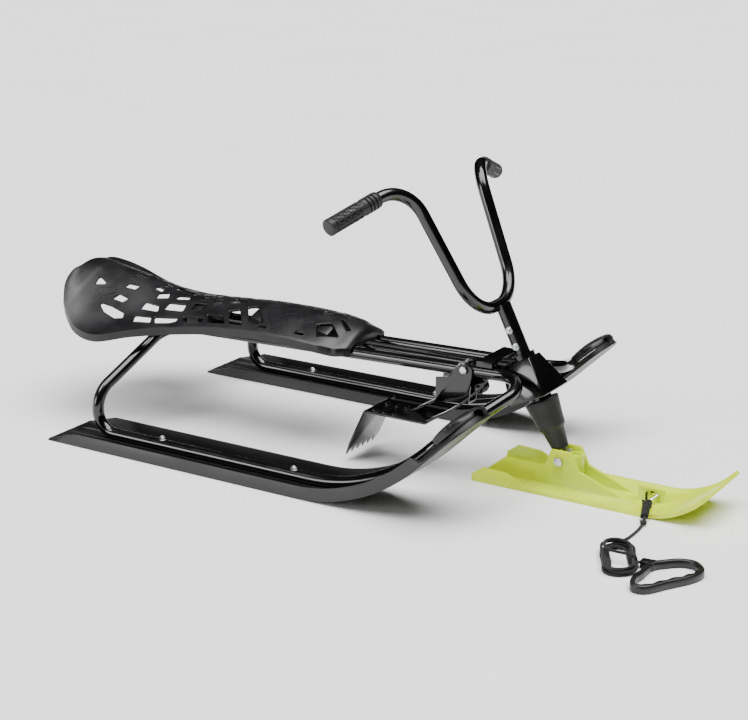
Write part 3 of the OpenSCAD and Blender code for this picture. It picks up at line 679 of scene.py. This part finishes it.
class SLED_OT_seat(bpy.types.Operator):
    """Moulded seat: a saddle-shaped skin with a web of openings, and its saddles"""
    bl_idname = "sled.seat"
    bl_label = "Seat"

    def execute(self, context):
        plastic = finish(polypropylene_spark_eroded)
        sizes = context.scene.sled_sizes
        shape = self.half_skin()
        for cut in SEAT_CUTS:
            self.cut_opening(shape, self.outline(cut, 3.0))
        bmesh.ops.mirror(shape, geom=shape.verts[:] + shape.edges[:] + shape.faces[:], axis="Y",
                         merge_dist=0.02 * MM)
        bmesh.ops.remove_doubles(shape, verts=shape.verts, dist=0.02 * MM)
        bmesh.ops.recalc_face_normals(shape, faces=shape.faces)
        if sum(f.normal.z for f in shape.faces) < 0:
            bmesh.ops.reverse_faces(shape, faces=shape.faces)
        self.skirt(shape)
        bmesh.ops.solidify(shape, geom=shape.faces, thickness=sizes.seat_wall)
        bmesh.ops.recalc_face_normals(shape, faces=shape.faces)
        self.rim_beads(shape, sizes.bead)
        seat = put(shape, "seat_skin", "frame", plastic, 40)
        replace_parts(seat, "seat_shell")
        saddles = put(eased_copy("seat_saddles", 1.0), "saddle_blocks", "frame", plastic)
        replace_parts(saddles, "seat_saddles")
        return {"FINISHED"}

    def half_skin(self):
        shape = bmesh.new()
        bmesh.ops.create_grid(shape, x_segments=135, y_segments=22, size=1)
        last = len(SEAT_ROWS) - 1
        for vert in shape.verts:
            v = (vert.co.y + 1) / 2
            vert.co = seat_point((vert.co.x + 1) / 2 * last, math.sin(math.pi / 2 * v) * 0.7 + 0.3 * v)
        return shape

    def outline(self, cut, radius):
        """A rounded outline in plan, its corners in metres."""
        corners = [at(x, share * seat_row(seat_row_at(x))[1], 0) for x, share in cut]
        sides = [(a - b).length for a, b in zip(corners, corners[1:] + corners[:1])]
        radius = min(radius * MM, min(sides) * 0.28)
        return rounded(corners, radius, closed=True, steps=4)

    def cut_opening(self, shape, outline):
        """Cuts the skin along a convex outline and takes out what is inside."""
        lows = [min(p[i] for p in outline) - 8 * MM for i in (0, 1)]
        highs = [max(p[i] for p in outline) + 8 * MM for i in (0, 1)]
        near = [f for f in shape.faces if all(lows[i] < f.calc_center_median()[i] < highs[i] for i in (0, 1))]
        geom = list({v for f in near for v in f.verts}) + list({e for f in near for e in f.edges}) + near
        pairs = list(zip(outline, outline[1:] + outline[:1]))
        middle = sum(outline, Vector()) / len(outline)
        walls = []
        for a, b in pairs:
            if (b - a).length < 0.05 * MM:
                continue
            across = (b - a).cross(UP).normalized()
            if across.dot(middle - a) > 0:
                across = -across
            walls.append((a, across))
            geom = bmesh.ops.bisect_plane(shape, geom=geom, dist=0.001 * MM, plane_co=a, plane_no=across)["geom"]
        inside = [f for f in geom if isinstance(f, bmesh.types.BMFace) and f.is_valid and all(
            across.dot(f.calc_center_median() - a) < 0.01 * MM for a, across in walls)]
        bmesh.ops.delete(shape, geom=inside, context="FACES")

    def skirt(self, shape):
        """Turns the outer edge down, with an arch over each rail in front."""
        front, back = at(467, 0, 0).x, at(-127, 0, 0).x
        rim = []
        for edge in shape.edges:
            if not edge.is_boundary:
                continue
            if all(abs(v.co.y) > 0.995 * seat_row(seat_row_at((v.co.x - REAR) / MM))[1] * MM
                   or v.co.x > front - 0.2 * MM or v.co.x < back + 0.2 * MM for v in edge.verts):
                rim.append(edge)
        made = bmesh.ops.extrude_edge_only(shape, edges=rim)["geom"]
        for vert in (v for v in made if isinstance(v, bmesh.types.BMVert)):
            low = vert.co.z - 13 * MM
            beside = abs(abs(vert.co.y) - 39 * MM)
            if vert.co.x > front - 12 * MM and beside < 13 * MM:
                low = max(low, 172 * MM + math.sqrt((13 * MM) ** 2 - beside ** 2))
            vert.co.z = min(low, vert.co.z - 0.5 * MM)

    def rim_beads(self, shape, radius):
        """Rounded rims along the openings, and fine lines round the outlined panels."""
        for cuts, size in ((SEAT_CUTS, radius), (SEAT_PANELS, radius * 0.55)):
            for cut in cuts:
                plan = spaced(self.outline(cut, 3.0), 7 * MM, closed=True)
                for side in (-1, 1):
                    path = []
                    for point in plan:
                        x = (point.x - REAR) / MM
                        k = seat_row_at(x)
                        on_skin = seat_point(k, point.y / MM / seat_row(k)[1])
                        path.append(Vector((on_skin.x, on_skin.y * side, on_skin.z - size * 0.35)))
                    rim = bmesh.new()
                    sweep(rim, path, size, sides=6, closed=True)
                    tidy_normals(rim)
                    made = bpy.data.meshes.new("rim")
                    rim.to_mesh(made)
                    rim.free()
                    shape.from_mesh(made)
                    bpy.data.meshes.remove(made)


# ---- Steering

class SLED_OT_steering(bpy.types.Operator):
    """Handlebar, stem, ribbed grips and the rubber boot over the ball of the column"""
    bl_idname = "sled.steering"
    bl_label = "Steering"

    def execute(self, context):
        coat, rubber, zinc = finish(steel_powder_coated), finish(rubber_moulded), finish(steel_zinc_plated)
        for name in ("stem", "handlebar"):
            finish_node(name, coat)
        finish_node("steering_shaft", zinc)
        for name, side in (("right", -1), ("left", 1)):
            grip = put(self.grip(side, context.scene.sled_sizes.grip / 2 / MM), "ribbed_grip_" + name,
                       "steering", rubber)
            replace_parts(grip, "grip_" + name)
        shape = bmesh.new()
        turned(shape, steered(0, 0, 66), (steered(0, 0, 1) - steered(0, 0, 0)).normalized(), [
            (0, 9.4), (0.4, 13.2), (2, 13.8), (3.5, 13.8), (32, 18.0), (33.5, 18.6), (37, 21.4), (39, 21.9),
            (41, 22.2), (78, 27.4), (80.5, 28.0), (83, 28.0), (84, 27.0), (84.4, 13)], sides=48)
        tidy_normals(shape)
        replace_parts(put(shape, "rubber_boot", "steering", rubber, 50), "boot")
        return {"FINISHED"}

    def grip(self, side, radius):
        """A grip with a closed end, a field of raised blocks and four rings by its collar."""
        end = steered(-72, side * 257, 519)
        axis = (steered(-13, side * 109, 542) - end).normalized()
        shape = bmesh.new()
        core = radius - 1.6
        profile = [(-3, 0), (-3, core * 0.7), (-2.6, core), (-1.5, radius - 0.2), (2, radius), (5, radius), (6, core)]
        for ring in range(10):
            profile.append((8 + ring * 6, core))
        profile += [(66, core), (67, radius - 0.5)]
        for ring in range(4):
            start = 69 + ring * 7
            profile += [(start, radius - 0.2), (start + 0.8, radius), (start + 3.6, radius), (start + 4.4, radius - 0.4),
                        (start + 4.8, core - 0.6), (start + 6.4, core - 0.6)]
        profile += [(98, radius - 0.6), (99.4, radius - 1.2), (100, radius - 3)]
        turned(shape, end, axis, profile, sides=24)
        tidy_normals(shape)
        blocks = []
        for face in shape.faces:
            middle = face.calc_center_median() - end
            along = middle.dot(axis) / MM
            out = middle - axis * middle.dot(axis)
            if 8 < along < 62 and out.length > core * 0.9 * MM and len(face.verts) == 4:
                ring = int((along - 8) / 6)
                angle = math.atan2(out.dot(axis.cross(axis.orthogonal()).normalized()),
                                   out.dot(axis.orthogonal().normalized()))
                column = int((angle + math.pi) / (2 * math.pi) * 24 + 0.001)
                if ring % 2 == 0 and column % 3 != 2 or ring % 2 == 1 and (column + 1) % 3 != 2:
                    blocks.append(face)
        raised = bmesh.ops.inset_individual(shape, faces=blocks, thickness=0.35 * MM, depth=1.4 * MM)
        return shape


# ---- Ski

class SLED_OT_ski(bpy.types.Operator):
    """Lime front ski with its fins, webs, turret and flow grooves"""
    bl_idname = "sled.ski"
    bl_label = "Ski"

    def execute(self, context):
        lime = finish(polyethylene_lime)
        shape = eased_copy("ski", 1.1, 2)
        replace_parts(put(shape, "ski_moulding", "ski", lime, 35), "ski")
        shape = bmesh.new()
        for across in (-50, -44, -38, -32, -26, 26, 32, 38, 44, 50):
            ridge = [at(718 + (abs(across) % 7) * 3, across, 4.0), at(975, across, 4.0)]
            sweep(shape, ridge, 0.7 * MM, sides=6)
        for side in (-1, 1):
            for web in range(3):
                foot = at(880 + web * 3, side * (21 + web * 9), 4)
                sweep(shape, [foot, at(965, side * (21 + web * 9), 4)], 1.0 * MM, sides=6)
        tidy_normals(shape)
        put(shape, "ski_ridges", "ski", lime)
        shape = bmesh.new()
        pivot = at(857 - 45 * math.tan(RAKE), 0, 45)
        front = pivot + Vector((18, 0, -4)) * MM
        turned(shape, front - UP * 30 * MM, UP, [(0, 16), (22, 15), (42, 14.4), (44, 13.6), (44, 10.6), (38, 10)],
               sides=32)
        tidy_normals(shape)
        put(shape, "ski_turret", "ski", lime)
        return {"FINISHED"}


# ---- Brake

class SLED_OT_brake(bpy.types.Operator):
    """Pedal with its claw, arm, strap and return spring"""
    bl_idname = "sled.brake"
    bl_label = "Brake"

    def execute(self, context):
        coat, wire = finish(steel_powder_coated), finish(spring_wire_oiled)
        for node, name, width in (("brake_pedal", "pedal_plate", 0.8), ("brake_arm", "pedal_arm", 0.7),
                                  ("brake_strap", "pedal_strap", 0.6)):
            piece = put(eased_copy(node, width), name, "brake", coat)
            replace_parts(piece, node)
        low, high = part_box("brake_spring")
        middle = (Vector(low) + Vector(high)) / 2
        coil = []
        turns, steps = 6, 20
        for i in range(turns * steps + 1):
            angle = 2 * math.pi * i / steps
            coil.append(Vector((middle.x + 7.4 * MM * math.cos(angle),
                                low[1] + 1.6 * MM + (high[1] - low[1] - 3.2 * MM) * i / (turns * steps),
                                middle.z + 7.4 * MM * math.sin(angle))))
        shape = bmesh.new()
        sweep(shape, coil, 1.45 * MM, sides=8)
        tidy_normals(shape)
        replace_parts(put(shape, "return_spring", "brake", wire, 60), "brake_spring")
        return {"FINISHED"}


# ---- Fasteners

class SLED_OT_fasteners(bpy.types.Operator):
    """Zinc-plated bolts, nuts and washers"""
    bl_idname = "sled.fasteners"
    bl_label = "Fasteners"

    def execute(self, context):
        zinc = finish(steel_zinc_plated)
        shape = bmesh.new()
        for side in (-1, 1):
            for place in (205, 470):
                hexagon_head(shape, at(place, side * HALF_GAUGE, 23.4), UP, 10, 4)
        tidy_normals(shape)
        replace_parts(put(shape, "runner_nuts", "frame", zinc), "runner_bolts")
        shape = bmesh.new()
        for place in (242, 270):
            for side in (-1, 1):
                hexagon_head(shape, steered(0, side * 12.2, place), Vector((0, side, 0)), 9, 2.6)
        tidy_normals(shape)
        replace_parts(put(shape, "stem_nuts", "steering", zinc), "stem_bolts")
        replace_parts(put(eased_copy("ski_bolt", 0.5), "pivot_bolt", "ski", zinc), "ski_bolt")
        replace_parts(put(eased_copy("brake_bolt", 0.5), "pedal_bolt", "frame", zinc), "brake_bolt")
        return {"FINISHED"}


# ---- Tow rope

# Route of the rope from its clip to the hank, and from the hank into the handle, in mm
ROPE_LEAD = [(986, -20, 11), (990, -32, 12), (996, -46, 13), (1002, -66, 13), (1006, -76, 9), (1010, -90, 4),
             (1013, -110, 2.4), (1014, -140, 2.4), (1012, -160, 2.4), (1004, -182, 2.4), (999.5, -200, 2.4)]
ROPE_TAIL = [(1062, -233, 7), (1070, -233, 7), (1077, -233, 7)]
HANK_AT = (1036, -234)
HANK_TURN = math.radians(-67)
HANK_RUN = 61.0

# Runs of the hank in turn: half its width at that run, and the height of the rope
HANK_RUNS = [(23.7, 2.4), (19, 2.4), (19, 2.4), (14.3, 2.4), (14.3, 7.1), (19, 7.1), (19, 7.1), (23.7, 7.1),
             (23.7, 11.8), (19, 11.8), (19, 16.5)]
HANK_CROSSING = [(-6, -15, 16.5), (0, -6, 16.5), (4, 4, 16.4), (8, 14, 16.2), (10.5, 22, 13.5)]

# Outline of the handle's ring, in mm
HANDLE = [(1089, -315), (1082, -292), (1083, -268), (1082, -245), (1086, -232), (1094, -221), (1115, -202),
          (1138, -198), (1156, -213), (1160, -230), (1152, -254), (1134, -283), (1116, -314), (1101, -321)]


def flowing(points, steps, closed=False):
    """A smooth curve through the points."""
    count = len(points)
    path = []
    for i in range(count if closed else count - 1):
        if closed:
            p, q, r, t = (points[(i + step) % count] for step in (-1, 0, 1, 2))
        else:
            p, q, r, t = (points[min(count - 1, max(0, i + step))] for step in (-1, 0, 1, 2))
        path += [q + f * ((r - p) / 2 + f * (p - 2.5 * q + 2 * r - t / 2 + f * ((t - p) / 2 + 1.5 * (q - r))))
                 for f in (k / steps for k in range(steps))]
    return path if closed else path + [points[-1].copy()]


def in_hank(along, across, height):
    """A point of the hank: along it, across it and above the floor, with a loose sway."""
    across += 2.5 * math.sin(along / 17)
    turned_x = along * math.cos(HANK_TURN) - across * math.sin(HANK_TURN)
    turned_y = along * math.sin(HANK_TURN) + across * math.cos(HANK_TURN)
    return at(HANK_AT[0] + turned_x, HANK_AT[1] + turned_y, height)


def hank_route():
    """The rope's turns in the hank: runs one way and back, joined round its two ends."""
    route = []
    for i, (radius, height) in enumerate(HANK_RUNS):
        way = 1 if i % 2 == 0 else -1
        stops = (-0.5, -0.25, 0, 0.25, 0.5) if i < len(HANK_RUNS) - 1 else (-0.5, -0.3)
        route += [in_hank(way * stop * HANK_RUN, -way * radius, height) for stop in stops]
        if i == len(HANK_RUNS) - 1:
            break
        for step in range(1, 10):
            f = step / 10
            blend = f * f * (3 - 2 * f)
            reach = radius + (HANK_RUNS[i + 1][0] - radius) * blend
            rise = height + (HANK_RUNS[i + 1][1] - height) * blend
            angle = math.pi * f
            route.append(in_hank(way * (HANK_RUN / 2 + reach * math.sin(angle)), -way * reach * math.cos(angle),
                                 rise))
    return route


class SLED_OT_rope(bpy.types.Operator):
    """Braided tow rope on its clip, wound in a hank, with a moulded handle"""
    bl_idname = "sled.rope"
    bl_label = "Tow rope"

    def execute(self, context):
        braid = finish(polyester_braid)
        thick = context.scene.sled_sizes.rope
        lead = flowing([at(*p) for p in ROPE_LEAD], 3)[:-1]
        crossing = [in_hank(*p) for p in HANK_CROSSING]
        tail = flowing([hank_route()[-1]] + crossing + [at(*p) for p in ROPE_TAIL], 3)[1:]
        path = lead + hank_route() + tail
        shape = bmesh.new()
        sweep(shape, path, thick / 2, sides=10)
        tidy_normals(shape)
        rope = put(shape, "braided_rope", "ski", braid, 60)
        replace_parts(rope, "tow_rope", "rope_hank")
        pieces = [self.knots(lead, thick, braid), self.handle()]
        self.clip()
        return {"FINISHED"}

    def knots(self, lead, thick, braid):
        """The knot at the clip, the wrapped stretch behind it and a small knot at its end."""
        shape = bmesh.new()
        for middle, size in ((at(990, -33, 12), 6.2), (at(995, -45, 12.5), 5.6), (at(1011, -93, 5.5), 3.4)):
            knot = []
            for k in range(60):
                t = 2 * math.pi * k / 60
                knot.append(middle + Vector(((math.sin(t) + 2 * math.sin(2 * t)) * size / 2.6,
                                             (math.cos(t) - 2 * math.cos(2 * t)) * size / 2.6,
                                             -math.sin(3 * t) * size * 0.45)) * MM)
            sweep(shape, knot, thick * 0.46, sides=8, closed=True)
        start, end = at(997, -50, 12.6), at(1006, -77, 8.5)
        axis = (end - start).normalized()
        side = axis.orthogonal().normalized()
        up = axis.cross(side)
        coil = []
        for k in range(7 * 14 + 1):
            angle = 2 * math.pi * k / 14
            coil.append(start.lerp(end, k / 98) + (side * math.cos(angle) + up * math.sin(angle)) * 4.3 * MM)
        sweep(shape, coil, thick * 0.45, sides=8)
        tidy_normals(shape)
        return put(shape, "rope_knots", "ski", braid, 60)

    def clip(self):
        """A three-cornered spring clip through the ski's lug, with a plated gate."""
        tilt = math.radians(20)
        corners = [at(986.8 + x, y * math.cos(tilt), 14 + (y + 11) * math.sin(tilt))
                   for x, y in ((-12, 1), (12, 1), (1, -25), (-1, -25))]
        shape = bmesh.new()
        sweep(shape, rounded(corners, [5 * MM, 5 * MM, 0.9 * MM, 0.9 * MM], closed=True), 2.0 * MM, sides=12,
              closed=True)
        tidy_normals(shape)
        body = put(shape, "clip_body", "ski", finish(steel_powder_coated), 50)
        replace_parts(body, "carabiner")
        shape = bmesh.new()
        sweep(shape, [corners[1].lerp(corners[2], f) for f in (0.2, 0.8)], 2.5 * MM, sides=14)
        tidy_normals(shape)
        put(shape, "clip_gate", "ski", finish(steel_zinc_plated), 50)

    def handle(self):
        """A flat ring with finger waves on the side that the hand holds, and its neck."""
        band, height = 3.6, 13
        outer = flowing([Vector((x, y, 0)) for x, y in HANDLE], 8, closed=True)
        count = len(outer)
        sections = []
        for i, point in enumerate(outer):
            ahead = (outer[(i + 1) % count] - outer[i - 1]).normalized()
            inwards = UP.cross(ahead)
            if inwards.dot(Vector((1115, -260, 0)) - point) < 0:
                inwards = -inwards
            held = min(1, max(0, (point.x - point.y * 0.55 - 1270) / 12)) * (1 if point.y < -222 else 0)
            wave = held * 1.5 * (1 + math.cos(point.y * 2 * math.pi / 21))
            depth = 2 * band + wave
            line = [(0, 1.5), (1.5, 0), (depth - 1.5, 0), (depth, 1.5), (depth, height - 1.5),
                    (depth - 1.5, height), (1.5, height), (0, height - 1.5)]
            sections.append([at(point.x + inwards.x * d, point.y + inwards.y * d, z) for d, z in line])
        shape = bmesh.new()
        skin(shape, sections, closed=True)
        neck = bmesh.ops.create_cube(shape, size=1)["verts"]
        for vert in neck:
            near = vert.co.x < 0
            vert.co = at(1070 if near else 1091, -233 + (6 if near else 8) * (1 if vert.co.y > 0 else -1),
                         height - 0.4 if vert.co.z > 0 else 0.4)
        tidy_normals(shape)
        ease_edges(shape, 0.8, 2, angle=50)
        piece = put(shape, "moulded_handle", "ski", finish(polypropylene_spark_eroded), 50)
        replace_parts(piece, "tow_handle")
        return piece


# ---- Stage

class SLED_OT_stage(bpy.types.Operator):
    """Pale floor, soft studio light and the camera"""
    bl_idname = "sled.stage"
    bl_label = "Stage"

    def execute(self, context):
        stage = context.scene.sled_stage
        shape = bmesh.new()
        bmesh.ops.create_grid(shape, x_segments=1, y_segments=1, size=stage.floor / 2)
        mesh = bpy.data.meshes.new("floor")
        shape.to_mesh(mesh)
        shape.free()
        floor = bpy.data.objects.new("floor", mesh)
        context.scene.collection.objects.link(floor)
        mesh.materials.append(finish(paper_backdrop))
        world = bpy.data.worlds.new("studio")
        context.scene.world = world
        world.use_nodes = True
        tree = world.node_tree
        ray = add_node(tree, "ShaderNodeTexCoord").outputs["Generated"]
        height = add_node(tree, "ShaderNodeSeparateXYZ", links={"Vector": ray}).outputs["Z"]
        glow = add_node(tree, "ShaderNodeMapRange", {"From Min": 0.3, "From Max": 0.9, "To Min": 0.16,
                                                     "To Max": 1.2}, {"Value": height})
        tree.links.new(glow.outputs["Result"], tree.nodes["Background"].inputs["Strength"])
        for name, place, spread, power in (("top", (0.2, 0.1, 1.0), 50, 4.8), ("key", (-0.5, -0.9, 1.9), 36, 2.2),
                                           ("side", (-0.7, -1.0, 0.3), 24, 1.1)):
            light = bpy.data.lights.new(name, "SUN")
            light.angle = math.radians(spread)
            light.energy = power
            lamp = bpy.data.objects.new(name, light)
            lamp.rotation_mode = "QUATERNION"
            lamp.rotation_quaternion = Vector(place).to_track_quat("Z", "Y")
            context.scene.collection.objects.link(lamp)
        back = Vector((math.sin(stage.azimuth) * math.cos(stage.elevation),
                       -math.cos(stage.azimuth) * math.cos(stage.elevation), math.sin(stage.elevation)))
        camera = bpy.data.cameras.new("camera")
        camera.lens = 85.0
        camera.sensor_width = 36.0
        view = bpy.data.objects.new("camera", camera)
        view.location = at(1967.0, -2380.3, 1016.9)
        view.rotation_mode = "QUATERNION"
        view.rotation_quaternion = (-back).to_track_quat("-Z", "Y")
        context.scene.collection.objects.link(view)
        context.scene.camera = view
        return {"FINISHED"}


class SLED_PT_panel(bpy.types.Panel):
    """Buttons that build the sled piece by piece"""
    bl_idname = "SLED_PT_panel"
    bl_label = "Snow Sled"
    bl_space_type = "VIEW_3D"
    bl_region_type = "UI"
    bl_category = "Sled"

    def draw(self, context):
        for kind in OPERATORS:
            self.layout.operator(kind.bl_idname)
        for group, names in ((context.scene.sled_finish, ("frame", "plastic", "ski", "zinc", "rubber", "rope")),
                             (context.scene.sled_sizes, ("tube", "seat_wall", "bead", "grip", "rope")),
                             (context.scene.sled_stage, ("floor", "azimuth", "elevation"))):
            for name in names:
                self.layout.prop(group, name)


OPERATORS = (SLED_OT_stage, SLED_OT_rope, SLED_OT_frame, SLED_OT_runners, SLED_OT_seat, SLED_OT_steering, SLED_OT_ski,
             SLED_OT_brake, SLED_OT_fasteners)
GROUPS = (SLED_PG_finish, SLED_PG_sizes, SLED_PG_stage)


def register():
    for kind in GROUPS + OPERATORS + (SLED_PT_panel,):
        bpy.utils.register_class(kind)
    bpy.types.Scene.sled_finish = bpy.props.PointerProperty(type=SLED_PG_finish)
    bpy.types.Scene.sled_sizes = bpy.props.PointerProperty(type=SLED_PG_sizes)
    bpy.types.Scene.sled_stage = bpy.props.PointerProperty(type=SLED_PG_stage)


def unregister():
    for name in ("sled_finish", "sled_sizes", "sled_stage"):
        delattr(bpy.types.Scene, name)
    for kind in reversed(GROUPS + OPERATORS + (SLED_PT_panel,)):
        bpy.utils.unregister_class(kind)


def main():
    register()
    for kind in OPERATORS:
        group, name = kind.bl_idname.split(".")
        getattr(getattr(bpy.ops, group), name)()


if __name__ == "__main__":
    main()
